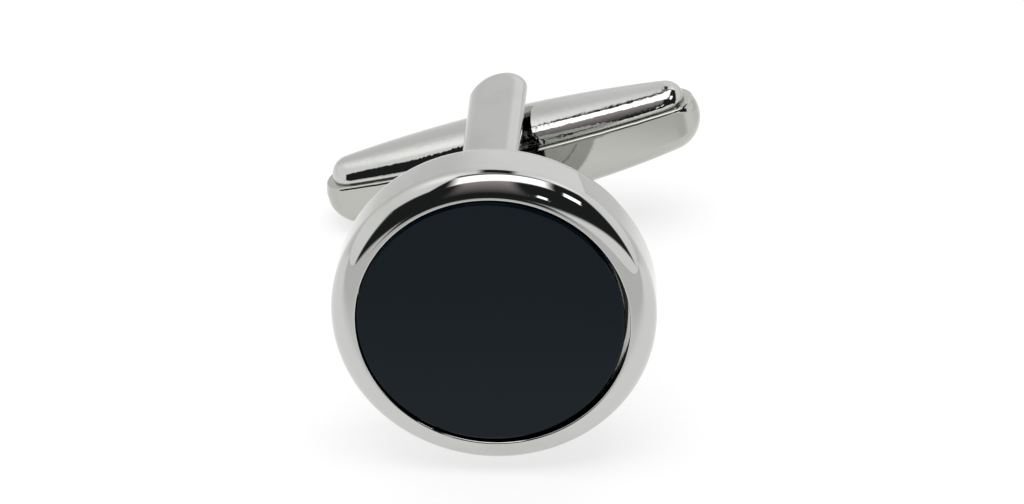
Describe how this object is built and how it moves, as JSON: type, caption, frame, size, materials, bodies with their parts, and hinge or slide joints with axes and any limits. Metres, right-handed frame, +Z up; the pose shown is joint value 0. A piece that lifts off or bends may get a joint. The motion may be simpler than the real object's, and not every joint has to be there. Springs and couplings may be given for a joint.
{
  "type": "cufflink",
  "caption": "Round cufflink with a deep polished bezel, flat black stone inlay and a torpedo toggle that swivels between the arms of a yoke on the back.",
  "frame": {"origin": "on the table, under the middle of the cufflink's bounding box as it lies at rest", "axes": "+Z is up from the table, +Y runs from the face towards the toggle along the ground, +X is to the right of someone looking at the face"},
  "size_m": [0.0202, 0.0242, 0.016],
  "materials": {
    "cup_plate": "mirror-polished white metal plate on brass",
    "stone_black": "polished opaque black stone",
    "adhesive": "cured clear-amber adhesive",
    "cover_plate": "mirror-polished white metal plate on brass",
    "yoke_plate": "mirror-polished white metal plate on brass",
    "stem_plate": "mirror-polished white metal plate on brass",
    "pin_steel": "polished steel, plated with the yoke",
    "tray_plate": "mirror-polished white metal plate on brass",
    "lid_plate": "mirror-polished white metal plate on brass",
    "spring_steel": "blued spring steel strip"
  },
  "bodies": {
    "face": {"bezel_cup": "cup_plate", "inlay_stone": "stone_black", "adhesive_bed": "adhesive", "back_cover": "cover_plate", "yoke": "yoke_plate", "stem": "stem_plate", "pivot_pin": "pin_steel"},
    "toggle": {"toggle_tray": "tray_plate", "toggle_lid": "lid_plate", "spring_outer": "spring_steel", "spring_inner": "spring_steel"}
  },
  "joints": [
    {"name": "toggle_swivel", "type": "hinge", "parent": "face", "child": "toggle", "pos_m": [0, 0.00809, 0.00402], "axis": [-0.2612, 0.2242, 0.9389], "range_deg": [-90, 90]}
  ]
}
